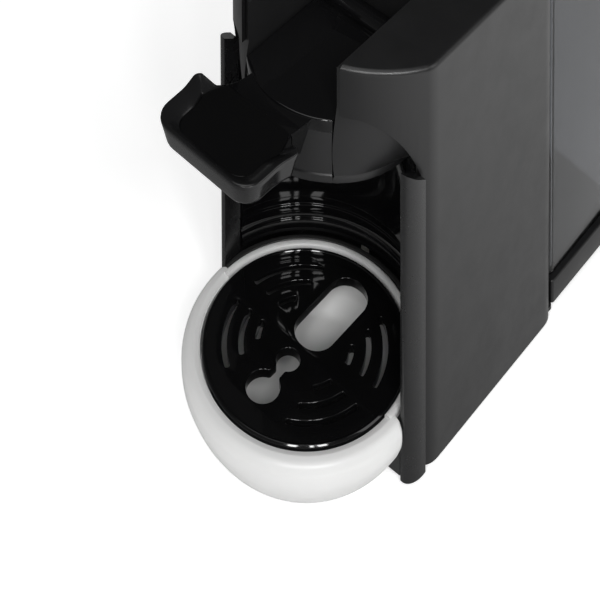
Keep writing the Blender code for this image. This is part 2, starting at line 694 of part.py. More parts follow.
lid_pin = bar(1.5 * MM, (-25 * MM, TANK_LID_Y, TANK_LID_Z), (25 * MM, TANK_LID_Y, TANK_LID_Z), 16)
smooth(part("tank_lid_pin", lid_pin, (0.55, 0.55, 0.56), 0.3, 1.0))

lid_outline = rounded(-TANK_HALF, TANK_HALF, TANK_FRONT, 124.4 * MM, (4 * MM, 4 * MM, 6 * MM, 6 * MM), 4)
lid_board = prism(lid_outline, TANK_TOP + 0.4 * MM, TANK_TOP + 3.4 * MM)
tank_lid = part("tank_lid", lid_board, (0.035, 0.035, 0.038), 0.3)
add(tank_lid, box(-20 * MM, 20 * MM, 120 * MM, TANK_LID_Y, TANK_TOP + 0.8 * MM, TANK_TOP + 3 * MM))
lid_barrel = bar(2.9 * MM, (-20.4 * MM, TANK_LID_Y, TANK_LID_Z), (20.4 * MM, TANK_LID_Y, TANK_LID_Z), 20)
add(tank_lid, lid_barrel)
for sign in (-1, 1):
    ends = sorted((sign * 20.4 * MM, sign * 25.7 * MM))
    cut(tank_lid, box(ends[0], ends[1], 122 * MM, 130 * MM, 195 * MM, 210 * MM))
cut(tank_lid, bar(1.8 * MM, (-30 * MM, TANK_LID_Y, TANK_LID_Z), (30 * MM, TANK_LID_Y, TANK_LID_Z), 16))
smooth(tank_lid)

valve_profile = [
    (0, 16.8 * MM),
    (3 * MM, 16.8 * MM),
    (3 * MM, TANK_BOTTOM + 2.8 * MM),
    (6 * MM, TANK_BOTTOM + 2.8 * MM),
    (6 * MM, TANK_BOTTOM + 5 * MM),
    (0, TANK_BOTTOM + 5 * MM),
]
tank_valve = part("tank_valve", turned(valve_profile, (0, VALVE_Y), steps=24), (0.5, 0.1, 0.06), 0.6)
smooth(tank_valve)

# ---------------------------------------------------------------- controls
button_disc = disc(BUTTON_RADIUS, 196.6 * MM, SHELL_TOP + 2.6 * MM, (0, BUTTON_Y))
smooth(part("start_button", button_disc, (0.5, 0.5, 0.5), 0.3, 0.5))
rocker_outline = [(-1.2, 8.4), (-2.6, 0), (-4.4, -8.4), (3, -7), (4, 0), (3, 7)]
rocker_placed = [(ROCKER_X + x * MM, ROCKER_Z + z * MM) for x, z in rocker_outline]
rocker = prism_y(rocker_placed, ROCKER_Y - 5.6 * MM, ROCKER_Y + 5.6 * MM)
part("power_rocker", rocker, (0.02, 0.02, 0.02), 0.3)

# ---------------------------------------------------------------- origins on the joint axes
for name, pivot in (
    ("lid_frame", lid_pivot),
    ("lid_inset", lid_pivot),
    ("pierce_unit", lid_pivot),
    ("pierce_seal", lid_pivot),
    ("pod_holder", pod_pivot),
    ("water_tank", (0, VALVE_Y, TANK_BOTTOM)),
    ("tank_lid_pin", (0, TANK_LID_Y, TANK_LID_Z)),
    ("tank_lid", (0, TANK_LID_Y, TANK_LID_Z)),
    ("power_rocker", (ROCKER_X, ROCKER_Y, ROCKER_Z)),
    ("drip_tray", (0, CUP_Y, TRAY_BOTTOM)),
    ("drip_grille", (0, CUP_Y, GRILLE_TOP)),
    ("tank_valve", (0, VALVE_Y, TANK_BOTTOM)),
    ("start_button", (0, BUTTON_Y, SHELL_TOP)),
):
    moving = bpy.data.objects[name]
    moving.data.transform(Matrix.Translation(-Vector(pivot)))
    moving.location = pivot
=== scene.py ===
"""Pod coffee machine with a round drip tray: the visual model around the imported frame."""

import math

import bmesh
import bpy
from mathutils import Matrix, Vector


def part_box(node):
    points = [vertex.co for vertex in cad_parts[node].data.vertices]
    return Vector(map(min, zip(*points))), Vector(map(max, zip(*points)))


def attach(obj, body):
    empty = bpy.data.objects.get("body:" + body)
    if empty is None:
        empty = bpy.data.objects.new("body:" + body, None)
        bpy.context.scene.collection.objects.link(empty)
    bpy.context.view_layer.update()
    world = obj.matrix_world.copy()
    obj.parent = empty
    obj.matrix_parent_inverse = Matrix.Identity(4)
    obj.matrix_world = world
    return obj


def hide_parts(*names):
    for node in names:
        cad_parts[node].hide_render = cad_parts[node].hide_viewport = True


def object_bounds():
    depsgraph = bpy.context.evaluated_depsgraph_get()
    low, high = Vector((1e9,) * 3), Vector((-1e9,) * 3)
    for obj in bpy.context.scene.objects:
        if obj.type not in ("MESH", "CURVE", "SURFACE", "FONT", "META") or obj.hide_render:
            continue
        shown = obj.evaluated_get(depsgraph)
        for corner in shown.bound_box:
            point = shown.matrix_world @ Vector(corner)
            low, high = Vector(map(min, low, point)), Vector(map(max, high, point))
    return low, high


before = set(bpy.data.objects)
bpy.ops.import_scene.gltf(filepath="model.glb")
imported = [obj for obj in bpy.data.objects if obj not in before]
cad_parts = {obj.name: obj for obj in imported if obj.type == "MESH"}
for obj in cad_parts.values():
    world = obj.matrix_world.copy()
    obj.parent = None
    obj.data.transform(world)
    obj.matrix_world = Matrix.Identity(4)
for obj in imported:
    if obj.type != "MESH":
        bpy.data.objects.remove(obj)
cad_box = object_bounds()
MM = 0.001


# ---------------------------------------------------------------- outlines, in millimetres
def fillet(corners, steps=5):
    """Rounds each corner (a, b, radius) of a closed flat outline."""
    points = []
    count = len(corners)
    for i, (a, b, radius) in enumerate(corners):
        if radius <= 0:
            points.append((a, b))
            continue
        here = Vector((a, b))
        before = Vector(corners[i - 1][:2]) - here
        after = Vector(corners[(i + 1) % count][:2]) - here
        room = 0.48 * min(before.length, after.length)
        before.normalize()
        after.normalize()
        opening = before.angle(after)
        reach = min(radius / math.tan(opening / 2), room)
        radius = reach * math.tan(opening / 2)
        centre = here + (before + after).normalized() * radius / math.sin(opening / 2)
        first = here + before * reach - centre
        last = here + after * reach - centre
        swing = first.angle_signed(last)
        for k in range(steps + 1):
            turn = -swing * k / steps
            points.append(
                (
                    centre.x + first.x * math.cos(turn) - first.y * math.sin(turn),
                    centre.y + first.x * math.sin(turn) + first.y * math.cos(turn),
                )
            )
    return points


def inset(outline, distance):
    """An anticlockwise outline moved inwards."""
    moved = []
    count = len(outline)
    for i in range(count):
        here = Vector(outline[i])
        before = (here - Vector(outline[i - 1])).normalized()
        after = (Vector(outline[(i + 1) % count]) - here).normalized()
        normal = Vector((-before.y - after.y, before.x + after.x)).normalized()
        stretch = max(normal.dot(Vector((-before.y, before.x))), 0.3)
        moved.append(tuple(here + normal * distance / stretch))
    return moved


def rectangle(x0, x1, y0, y1, radii, steps=8):
    """A rectangle with one corner radius, or four that start at its low corner."""
    if not isinstance(radii, (tuple, list)):
        radii = (radii,) * 4
    return fillet([(x0, y0, radii[0]), (x1, y0, radii[1]), (x1, y1, radii[2]), (x0, y1, radii[3])], steps)


def bezier(a, b, c, steps=8):
    """Points on a quadratic curve, without its first."""
    out = []
    for i in range(1, steps + 1):
        t = i / steps
        out.append(tuple((1 - t) ** 2 * p + 2 * t * (1 - t) * q + t * t * r for p, q, r in zip(a, b, c)))
    return out


# ---------------------------------------------------------------- solids
def loft(rings, closed=False):
    """A skin over rings of (x, y, z) points, capped at both ends or closed into a loop."""
    body = bmesh.new()
    rows = [[body.verts.new(Vector(p) * MM) for p in ring] for ring in rings]
    pairs = list(zip(rows, rows[1:]))
    if closed:
        pairs.append((rows[-1], rows[0]))
    else:
        body.faces.new(rows[0])
        body.faces.new(rows[-1])
    for low, high in pairs:
        for i in range(len(low)):
            j = (i + 1) % len(low)
            body.faces.new((low[i], low[j], high[j], high[i]))
    bmesh.ops.remove_doubles(body, verts=body.verts, dist=1e-7)
    loose = [e for e in body.edges if not e.link_faces]
    bmesh.ops.delete(body, geom=loose, context="EDGES")
    bmesh.ops.recalc_face_normals(body, faces=body.faces)
    mesh = bpy.data.meshes.new("solid")
    body.to_mesh(mesh)
    body.free()
    return mesh


def slab(outline, low, high, round_low=0.6, round_high=0.6, steps=3):
    """A plan outline raised between two heights, with rounded edges."""
    rings = []
    for i in range(steps + 1):
        angle = math.pi / 2 * i / steps
        ring = inset(outline, round_low * (1 - math.sin(angle))) if round_low else outline
        rings.append([(x, y, low + round_low * (1 - math.cos(angle))) for x, y in ring])
        if not round_low:
            break
    for i in range(steps + 1):
        angle = math.pi / 2 * i / steps
        ring = inset(outline, round_high * (1 - math.cos(angle))) if round_high else outline
        rings.append([(x, y, high - round_high * (1 - math.sin(angle))) for x, y in ring])
        if not round_high:
            break
    return loft(rings)


def block(x0, x1, y0, y1, z0, z1):
    """A plain box."""
    return loft([[(x0, y0, z), (x1, y0, z), (x1, y1, z), (x0, y1, z)] for z in (z0, z1)])


def along_y(outline, front, rear):
    """An upright (x, z) outline drawn out from front to rear."""
    return loft([[(x, y, z) for x, z in outline] for y in (front, rear)])


def turned(profile, centre, start=0.0, sweep=360.0, steps=128, warp=None):
    """A closed (radius, height) profile turned about an upright axis. warp moves a point by its angle."""
    whole = sweep >= 360
    rings = []
    for i in range(steps if whole else steps + 1):
        angle = math.radians(start + sweep * i / steps)
        ring = []
        for r, z in profile:
            if warp:
                r, z = warp(r, z, math.degrees(angle))
            ring.append((centre[0] + r * math.cos(angle), centre[1] + r * math.sin(angle), z))
        rings.append(ring)
    return loft(rings, closed=whole)


def bar(start, end, radius, steps=32):
    """A round bar between two points."""
    start, end = Vector(start), Vector(end)
    turn = (end - start).to_track_quat("Z", "Y")
    rings = []
    for place in (start, end):
        ring = []
        for k in range(steps):
            t = 2 * math.pi * k / steps
            ring.append(tuple(place + turn @ Vector((radius * math.cos(t), radius * math.sin(t), 0))))
        rings.append(ring)
    return loft(rings)


def bake(piece):
    """Applies a piece's modifiers to its mesh."""
    graph = bpy.context.evaluated_depsgraph_get()
    made = bpy.data.meshes.new_from_object(piece.evaluated_get(graph), depsgraph=graph)
    piece.modifiers.clear()
    piece.data = made


def piece_from(name, mesh):
    """Puts a mesh into the scene as a named object."""
    made = bpy.data.objects.new(name, mesh)
    bpy.context.scene.collection.objects.link(made)
    return made


def carve(piece, *meshes, operation="DIFFERENCE"):
    """Cuts meshes from a piece, or joins them to it."""
    tools = []
    for mesh in meshes:
        tool = piece_from("tool", mesh)
        tools.append(tool)
        step = piece.modifiers.new("carve", "BOOLEAN")
        step.operation = operation
        step.solver = "EXACT"
        step.object = tool
    bake(piece)
    for tool in tools:
        bpy.data.objects.remove(tool, do_unlink=True)


def soften(piece, width=0.4, segments=3, angle=32):
    """Rounds a piece's hard edges and shades it smooth."""
    for polygon in piece.data.polygons:
        polygon.use_smooth = True
    step = piece.modifiers.new("edges", "BEVEL")
    step.width = width * MM
    step.segments = segments
    step.limit_method = "ANGLE"
    step.angle_limit = math.radians(angle)
    step.harden_normals = True
    step.use_clamp_overlap = True
    bake(piece)


def shade(piece, angle=35):
    """Smooth shading that keeps hard edges."""
    body = bmesh.new()
    body.from_mesh(piece.data)
    limit = math.radians(angle)
    for face in body.faces:
        face.smooth = True
    for edge in body.edges:
        edge.smooth = len(edge.link_faces) == 2 and edge.calc_face_angle(0) < limit
    body.to_mesh(piece.data)
    body.free()


def finish_piece(piece, look, body, slot, *nodes):
    """Gives a piece its material and its body, and hides the CAD nodes that it stands for. slot is not used.
    """
    piece.data.materials.clear()
    piece.data.materials.append(look)
    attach(piece, body)
    if nodes:
        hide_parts(*nodes)
    return piece


# ---------------------------------------------------------------- materials
class Look:
    """A node material built up in steps."""

    def __init__(self, name):
        self.material = bpy.data.materials.new(name)
        self.material.use_nodes = True
        self.tree = self.material.node_tree
        self.shader = self.tree.nodes["Principled BSDF"]
        self.place = self.add("ShaderNodeTexCoord").outputs["Object"]

    def add(self, kind, **values):
        node = self.tree.nodes.new(kind)
        for key, value in values.items():
            if key in node.inputs:
                node.inputs[key].default_value = value
            else:
                setattr(node, key, value)
        return node

    def link(self, a, b):
        self.tree.links.new(a, b)

    def noise(self, scale, detail=3.0, roughness=0.55, stretch=None):
        node = self.add("ShaderNodeTexNoise")
        node.inputs["Scale"].default_value = scale
        node.inputs["Detail"].default_value = detail
        node.inputs["Roughness"].default_value = roughness
        source = self.place
        if stretch:
            mapping = self.add("ShaderNodeMapping")
            mapping.inputs["Scale"].default_value = stretch
            self.link(source, mapping.inputs["Vector"])
            source = mapping.outputs["Vector"]
        self.link(source, node.inputs["Vector"])
        return node.outputs["Fac"]

    def ramp(self, source, low, high):
        """Maps a noise to a range of numbers."""
        node = self.add("ShaderNodeMapRange")
        node.inputs["From Min"].default_value = 0.3
        node.inputs["From Max"].default_value = 0.7
        node.inputs["To Min"].default_value = low
        node.inputs["To Max"].default_value = high
        self.link(source, node.inputs["Value"])
        return node.outputs["Result"]

    def blend(self, factor, first, second):
        node = self.add("ShaderNodeMix")
        node.data_type = "RGBA"
        node.inputs["A"].default_value = (*first, 1)
        node.inputs["B"].default_value = (*second, 1)
        self.link(factor, node.inputs["Factor"])
        return node.outputs["Result"]

    def bumps(self, layers):
        """Stacked bump layers of (height source, strength, distance in mm)."""
        last = None
        for source, strength, depth in layers:
            node = self.add("ShaderNodeBump")
            node.inputs["Strength"].default_value = strength
            node.inputs["Distance"].default_value = depth * MM
            self.link(source, node.inputs["Height"])
            if last is not None:
                self.link(last, node.inputs["Normal"])
            last = node.outputs["Normal"]
        self.link(last, self.shader.inputs["Normal"])


def plastic(name, dark, light, rough, grain=0.0, waviness=0.0, specular=0.5):
    """Moulded plastic: colour and gloss that vary a little, fine grain and slow waviness."""
    look = Look(name)
    patch = look.noise(38.0, 4.0)
    fine = look.noise(900.0, 2.0)
    look.link(look.blend(patch, dark, light), look.shader.inputs["Base Color"])
    look.link(look.ramp(look.noise(70.0, 5.0, 0.65), rough[0], rough[1]), look.shader.inputs["Roughness"])
    layers = []
    if grain:
        layers.append((look.noise(2600.0, 2.0), grain, 0.05))
    if waviness:
        layers.append((look.noise(22.0, 1.0, 0.4), waviness, 1.0))
    layers.append((fine, 0.03, 0.02))
    look.bumps(layers)
    look.shader.inputs["Specular IOR Level"].default_value = specular
    return look.material


def brushed(name, dark, light, rough, stretch=(1, 1, 40)):
    """Metal with fine streaks."""
    look = Look(name)
    streak = look.noise(60.0, 4.0, 0.6, stretch)
    look.link(look.blend(streak, dark, light), look.shader.inputs["Base Color"])
    look.link(look.ramp(streak, rough[0], rough[1]), look.shader.inputs["Roughness"])
    look.shader.inputs["Metallic"].default_value = 1.0
    look.bumps([(streak, 0.08, 0.03)])
    return look.material


def smoked(name):
    """Smoke-grey clear plastic."""
    look = Look(name)
    tint = look.blend(look.noise(14.0, 2.0), (0.30, 0.31, 0.33), (0.36, 0.37, 0.39))
    look.link(tint, look.shader.inputs["Base Color"])
    look.link(look.ramp(look.noise(55.0, 4.0), 0.05, 0.13), look.shader.inputs["Roughness"])
    look.shader.inputs["Transmission Weight"].default_value = 1.0
    look.shader.inputs["IOR"].default_value = 1.46
    look.bumps([(look.noise(18.0, 1.0), 0.03, 1.0), (look.noise(700.0, 2.0), 0.02, 0.02)])
    return look.material


SATIN = plastic(
    "satin_black", (0.0065, 0.0065, 0.0068), (0.009, 0.009, 0.0094), (0.30, 0.40), grain=0.22
)
SATIN_SOFT = plastic(
    "satin_head", (0.008, 0.008, 0.0084), (0.011, 0.011, 0.0115), (0.40, 0.48), grain=0.06
)
GLOSS = plastic(
    "gloss_black", (0.0028, 0.0028, 0.003), (0.0038, 0.0038, 0.0042), (0.035, 0.07), waviness=0.02
)
INSET = plastic(
    "gloss_inset", (0.0024, 0.0024, 0.0025), (0.0034, 0.0034, 0.0036), (0.05, 0.09), specular=0.25
)
GLOSS_TOP = plastic(
    "gloss_grille", (0.003, 0.003, 0.0032), (0.0045, 0.0045, 0.0048), (0.05, 0.10), waviness=0.015
)
COLUMN = plastic(
    "satin_column", (0.007, 0.007, 0.0074), (0.010, 0.010, 0.0104), (0.20, 0.30), grain=0.08
)
LEVER = plastic("satin_lever", (0.006, 0.006, 0.0064), (0.009, 0.009, 0.0094), (0.14, 0.22), grain=0.08)
WHITE = plastic("white_tray", (0.66, 0.66, 0.655), (0.71, 0.71, 0.705), (0.28, 0.42), grain=0.12)
PALE = plastic("pale_plastic", (0.60, 0.59, 0.56), (0.68, 0.67, 0.64), (0.35, 0.5), grain=0.15)
MATT = plastic("matt_black", (0.012, 0.012, 0.012), (0.018, 0.018, 0.018), (0.45, 0.6), grain=0.3)
RUBBER = plastic(
    "rubber", (0.010, 0.010, 0.010), (0.020, 0.020, 0.019), (0.65, 0.85), grain=0.5, specular=0.3
)
SEAL = plastic("silicone_seal", (0.42, 0.07, 0.04), (0.52, 0.10, 0.06), (0.45, 0.6), grain=0.3)
HOSE = plastic("silicone_hose", (0.62, 0.61, 0.57), (0.72, 0.71, 0.67), (0.35, 0.5), grain=0.2)
BOARD = plastic("circuit_board", (0.010, 0.09, 0.035), (0.02, 0.14, 0.055), (0.25, 0.4), grain=0.3)
STEEL = brushed("brushed_steel", (0.50, 0.50, 0.51), (0.68, 0.68, 0.69), (0.18, 0.34))
CAST = brushed("cast_aluminium", (0.55, 0.55, 0.55), (0.70, 0.70, 0.69), (0.38, 0.55), (1, 1, 1))
CHROME = brushed("chromed_trim", (0.62, 0.62, 0.63), (0.74, 0.74, 0.75), (0.06, 0.14), (1, 1, 6))
SMOKED = smoked("smoked_tank")

# ---------------------------------------------------------------- places taken from the frame
grille_low, grille_high = [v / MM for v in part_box("drip_grille")]
tray_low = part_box("drip_tray")[0] / MM
cradle_low, cradle_high = [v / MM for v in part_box("tray_cradle")]
liner_low, liner_high = [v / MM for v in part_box("niche_liner")]
shell_low, shell_high = [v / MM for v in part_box("outer_shell")]
head_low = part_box("head_housing")[0] / MM
lid_low, lid_high = [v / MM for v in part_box("lid_frame")]
column_low, column_high = [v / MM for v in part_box("column_right")]
tank_low, tank_high = [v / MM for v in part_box("water_tank")]
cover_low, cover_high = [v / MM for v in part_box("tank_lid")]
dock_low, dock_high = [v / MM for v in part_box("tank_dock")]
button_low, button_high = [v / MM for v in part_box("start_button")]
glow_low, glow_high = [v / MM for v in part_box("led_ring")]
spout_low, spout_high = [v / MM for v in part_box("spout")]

cup = ((grille_low.x + grille_high.x) / 2, (grille_low.y + grille_high.y) / 2)
disc_top = grille_high.z
disc_radius = (grille_high.x - grille_low.x) / 2
head_centre = (0.0, cup[1] + 25)
head_radius = 47.0
half = shell_high.x
SPOUT_CENTRE = (0, -42)
BUTTON_CENTRE = (0, 30)
TANK_PORT_Y = 98
HINGE_Y, HINGE_Z = -12, 179
COVER_PIN_Y, COVER_PIN_Z = 128, 201.6


# ---------------------------------------------------------------- drip grille
SLOT_WIDTH = 3.4
SLOT_END = 1.15
PLATE_RADIUS = 50.4


def arc_slot(radius, width, first, last, flip_x, flip_y, steps=14):
    """A curved slot with rounded ends, as a flat outline."""
    outline = []
    for reach, a, b in ((radius + width / 2, first, last), (radius - width / 2, last, first)):
        tip = SLOT_END / reach * 180 / math.pi
        a, b = (a + tip, b - tip) if b > a else (a - tip, b + tip)
        for i in range(steps + 1):
            angle = math.radians(a + (b - a) * i / steps)
            outline.append((reach * math.cos(angle) * flip_x, reach * math.sin(angle) * flip_y))
        end = math.radians(last if b > a else first)
        turn = 1 if b > a else -1
        for i in range(1, 5):
            swing = math.pi * i / 5
            away = width / 2 * math.cos(swing) * turn
            out = SLOT_END * math.sin(swing) * turn
            base = (radius + away) * math.cos(end), (radius + away) * math.sin(end)
            side = -math.sin(end), math.cos(end)
            back = -SLOT_END * turn
            outline.append(
                ((base[0] + side[0] * (out + back)) * flip_x, (base[1] + side[1] * (out + back)) * flip_y)
            )
    return outline


holes = []
for radius, first, last in ((41, 8, 62), (32.5, 10, 55), (24, 13, 40)):
    for flip_x in (1, -1):
        for flip_y in (1, -1):
            holes.append(arc_slot(radius, SLOT_WIDTH, first, last, flip_x, flip_y))
holes.append(rectangle(-11.5, 11.5, -2.5, 43.5, 11.49, 14))
dumbbell = []
for middle, radius, first, last in ((-31, 9, 112, 428), (-12.5, 6.5, -60, 240)):
    for i in range(29):
        angle = math.radians(first + (last - first) * i / 28)
        rounding = 2.5 if i in (0, 28) else 0
        dumbbell.append((radius * math.cos(angle), middle + radius * math.sin(angle), rounding))
holes.append(fillet(dumbbell, 4))

plate = bpy.data.curves.new("plate", "CURVE")
plate.dimensions = "2D"
plate.fill_mode = "BOTH"
plate.extrude = 1.95 * MM
plate.bevel_depth = 0.35 * MM
plate.bevel_resolution = 2
round_edge = []
for i in range(160):
    angle = 2 * math.pi * i / 160
    round_edge.append((PLATE_RADIUS * math.cos(angle), PLATE_RADIUS * math.sin(angle)))
for outline in [round_edge] + holes:
    spline = plate.splines.new("POLY")
    spline.points.add(len(outline) - 1)
    spline.use_cyclic_u = True
    for point, (x, y) in zip(spline.points, outline):
        point.co = (x * MM, y * MM, 0, 1)
grille = piece_from("grille_plate", plate)
graph = bpy.context.evaluated_depsgraph_get()
flat = bpy.data.meshes.new_from_object(grille.evaluated_get(graph), depsgraph=graph)
bpy.data.objects.remove(grille, do_unlink=True)
flat.transform(Matrix.Translation(Vector((cup[0], cup[1], disc_top - 2.7)) * MM))
body = bmesh.new()
body.from_mesh(flat)
bmesh.ops.remove_doubles(body, verts=body.verts, dist=1e-7)
rim_profile = fillet(
    [
        (49.6, disc_top - 4.5, 0.3),
        (51.8, disc_top - 4.5, 0.5),
        (disc_radius, disc_top - 3.6, 0.6),
        (disc_radius, disc_top - 0.9, 0.9),
        (51.6, disc_top, 0.6),
        (50.7, disc_top - 0.05, 0.4),
        (50.3, disc_top - 0.55, 0.25),
        (49.6, disc_top - 0.62, 0.2),
    ],
    4,
)
body.from_mesh(turned(rim_profile, cup, steps=180))
body.to_mesh(flat)
body.free()
grille = piece_from("grille_plate", flat)
shade(grille, 40)
finish_piece(grille, GLOSS_TOP, "grille", "niche_gloss", "drip_grille")

# ---------------------------------------------------------------- white tray
bowl_profile = fillet(
    [
        (0, tray_low.z, 0),
        (49.5, tray_low.z, 5),
        (57.0, 13, 6),
        (57.0, disc_top - 1.4, 0.4),
        (53.3, disc_top - 1.4, 0.3),
        (53.3, disc_top - 5.0, 0.3),
        (50.6, disc_top - 5.0, 0.4),
        (50.6, 14.5, 6),
        (43.5, tray_low.z + 2.2, 6),
        (0, tray_low.z + 2.2, 0),
    ],
    5,
)
bead_profile = fillet(
    [
        (53.2, disc_top - 2.4, 0.3),
        (53.2, disc_top + 0.6, 1.6),
        (57.0, disc_top + 0.6, 1.7),
        (57.1, disc_top - 2.4, 0.3),
    ],
    6,
)
front_profile = fillet(
    [
        (53.6, disc_top - 3.0, 0.2),
        (53.9, disc_top - 1.0, 0.5),
        (56.6, disc_top - 0.1, 2.0),
        (60.2, disc_top - 0.8, 4.0),
        (62.7, disc_top - 4.6, 6.0),
        (62.7, disc_top - 11.0, 16.0),
        (59.4, disc_top - 19.0, 30.0),
        (55.2, disc_top - 25.7, 24.0),
        (50.6, tray_low.z, 1.5),
        (46.6, tray_low.z + 0.2, 0.4),
        (51.0, disc_top - 24.0, 20.0),
        (55.2, disc_top - 14.0, 12.0),
    ],
    6,
)
end_angle = math.degrees(math.asin((column_low.y - 0.7 - cup[1]) / 62.4))
RING_RADIUS = 57.2
END_SWEEP = 1.6


def rounded_ends(r, z, angle):
    """Draws the shell in towards the ring over its last degrees."""
    away = min(angle - (180 - end_angle), (360 + end_angle) - angle)
    if r > RING_RADIUS and away < END_SWEEP:
        share = 1 - max(away, 0) / END_SWEEP
        r = r - (r - RING_RADIUS) * (1 - math.sqrt(1 - share * share)) * 0.2
    return r, z


tray = piece_from("tray_bowl", turned(bowl_profile, cup, steps=160))
shade(tray, 40)
finish_piece(tray, WHITE, "tray", "white_plastic", "drip_tray")
bead = piece_from("tray_bead", turned(bead_profile, cup, -1.0, 182.0, 128))
shade(bead, 40)
finish_piece(bead, WHITE, "tray", "white_plastic")
front_shell = piece_from(
    "tray_front", turned(front_profile, cup, 180 - end_angle, 180 + 2 * end_angle, 150, rounded_ends)
)
soften(front_shell, 0.5, 3, 50)
finish_piece(front_shell, WHITE, "tray", "white_plastic")


# ---------------------------------------------------------------- cradle ledge and niche wall
def between_columns(mesh, limit):
    """Holds a mesh inside a half width."""
    for vertex in mesh.vertices:
        vertex.co.x = max(-limit * MM, min(limit * MM, vertex.co.x))
    return mesh


ledge_top = cradle_high.z
ledge_profile = fillet(
    [
        (51.6, cradle_low.z, 0.3),
        (61.2, cradle_low.z, 0.4),
        (61.2, ledge_top, 0.9),
        (58.6, ledge_top, 0.5),
        (58.2, ledge_top - 0.5, 0.3),
        (57.6, ledge_top - 1.2, 0.4),
        (57.6, 12.4, 0.8),
        (51.6, 5.6, 0.4),
    ],
    4,
)
ledge_mesh = turned(ledge_profile, cup, 2.9, 174.2, 128)
ledge = piece_from("cradle_ledge", between_columns(ledge_mesh, column_low.x - 0.3))
shade(ledge, 40)
finish_piece(ledge, MATT, "housing", "dark_plastic", "tray_cradle")

wall_inner = 61.6
wall_outer = 63.3
wall_profile = [
    (wall_outer, liner_low.z, 0),
    (wall_outer, liner_high.z, 0),
    (wall_inner, liner_high.z, 0.3),
    (wall_inner, 55.0, 0.5),
    (wall_inner + 1.0, 54.6, 0.4),
    (wall_inner + 1.0, 50.4, 0.4),
    (wall_inner, 50.0, 0.5),
    (wall_inner, 45.0, 0.5),
    (wall_inner + 1.0, 44.6, 0.4),
    (wall_inner + 1.0, 42.4, 0.4),
    (wall_inner, 42.0, 0.5),
    (wall_inner, liner_low.z, 0.3),
]
niche = piece_from("niche_wall", turned(fillet(wall_profile, 4), cup, 15, 150, 160))
shade(niche, 40)
finish_piece(niche, GLOSS, "housing", "niche_gloss", "niche_liner")

# ---------------------------------------------------------------- columns
COLUMN_SLOPE = 0.61
COLUMN_FLAT = 1.2
COLUMN_ROUND = 9.5
inner, outer = column_low.x, column_high.x
plan = [(inner, column_high.y), (inner, column_low.y), (inner + COLUMN_FLAT, column_low.y)]
for i in range(1, 15):
    angle = math.pi / 2 * i / 14
    x = inner + COLUMN_FLAT + (outer - inner - COLUMN_FLAT) * math.sin(angle)
    plan.append((x, column_low.y + COLUMN_ROUND * (1 - math.cos(angle))))
plan.append((outer, column_high.y))
for side, sign in (("left", -1), ("right", 1)):
    foot = [(sign * x, y, column_low.z) for x, y in plan]
    crown = [(sign * x, y, column_high.z - COLUMN_SLOPE * (y - column_low.y)) for x, y in plan]
    column = piece_from("column_" + side + "_skin", loft([foot, crown]))
    soften(column, 0.35, 3, 40)
    finish_piece(column, COLUMN, "housing", "column_gloss", "column_" + side)


# ---------------------------------------------------------------- outer shell
NOSE_CENTRE = -2.0
NOSE_RADIUS = 76.3
ARCH_TOP = 181.8
ARCH_FLAT = 40.0
ARCH_ACROSS = 24.0
ARCH_DOWN = 41.5
ARCH_END = 152.6
LEG_FRONT = column_high.y + 0.3


def nose_y(x, depth=0.0):
    """Where the round nose is at a given x."""
    reach = NOSE_RADIUS - depth
    return NOSE_CENTRE - math.sqrt(reach * reach - x * x)


def tower(depth):
    """Plan of the shell drawn in by a depth: round nose, straight sides, rounded rear corners."""
    side = half - depth
    start = 65.0 - depth
    right = [(start * i / 24, nose_y(start * i / 24, depth)) for i in range(25)]
    right += bezier(right[-1], (side, right[-1][1] + 2.4), (side, right[-1][1] + 7.0))
    sweep = 10 - depth
    rear = shell_high.y - depth
    right += [(side, rear - sweep)] + bezier((side, rear - sweep), (side, rear), (side - sweep, rear))
    left = [(-x, y) for x, y in reversed(right)]
    return right + left[:-1]


def arch_height(x):
    """Height of the arch over the niche: flat in the middle, then a quarter ellipse to each side."""
    reach = min(max(abs(x) - ARCH_FLAT, 0), ARCH_ACROSS) / ARCH_ACROSS
    return max(ARCH_TOP - ARCH_DOWN * (1 - math.sqrt(1 - reach * reach)), ARCH_END)


outside = tower(0)
shell = piece_from("shell_skin", slab(outside, shell_low.z, shell_high.z, 0.5, 2.6, 6))
arch = [(-half - 1, -5), (half + 1, -5), (half + 1, ARCH_END)]
for i in range(65):
    x = (ARCH_FLAT + ARCH_ACROSS) * 0.98 * math.cos(math.pi * i / 64)
    arch.append((x, arch_height(x)))
arch.append((-half - 1, ARCH_END))
carve(
    shell,
    loft([[(x, y, z) for x, y in tower(2.5)] for z in (-5, shell_high.z - 2.5)]),
    along_y(arch, -160, LEG_FRONT),
    block(-33, 33, -160, -1, 150, 230),
    block(-63.8, 63.8, 40, 70, -5, 4.3),
    block(1, 13, 60, 70, -5, 13),
    bar((*BUTTON_CENTRE, 195), (*BUTTON_CENTRE, 215), 9.1, 64),
    block(-80, -55, 37, 53, 21.7, 46.3),
)
soften(shell, 0.7, 3, 30)
finish_piece(shell, SATIN, "housing", "shell_plastic", "outer_shell")

# ---------------------------------------------------------------- head with its lens
HEAD_HALF = 60.5
RIM_LOW = head_low.z + 3.6
RIM_HEIGHT = 4.2
sections = []
LEVELS = 9
for k in range(LEVELS + 1):
    t = k / LEVELS
    ring = []
    for i in range(49):
        angle = math.radians(-90 + 180 * i / 48)
        low = Vector(
            (
                head_radius * math.sin(angle),
                head_centre[1] - head_radius * math.cos(angle),
                RIM_LOW + RIM_HEIGHT,
            )
        )
        x = HEAD_HALF * math.sin(angle)
        high = Vector((x, nose_y(x, 2.9), arch_height(x) + 2.0))
        bulge = math.sin(math.pi * t) * 1.6
        point = low.lerp(high, t)
        out = Vector((math.sin(angle), -math.cos(angle), -0.5)).normalized()
        ring.append(point + out * bulge)
    ring.append(Vector((ring[-1].x, 0.5, ring[-1].z)))
    ring.append(Vector((ring[0].x, 0.5, ring[0].z)))
    sections.append([tuple(p) for p in ring])
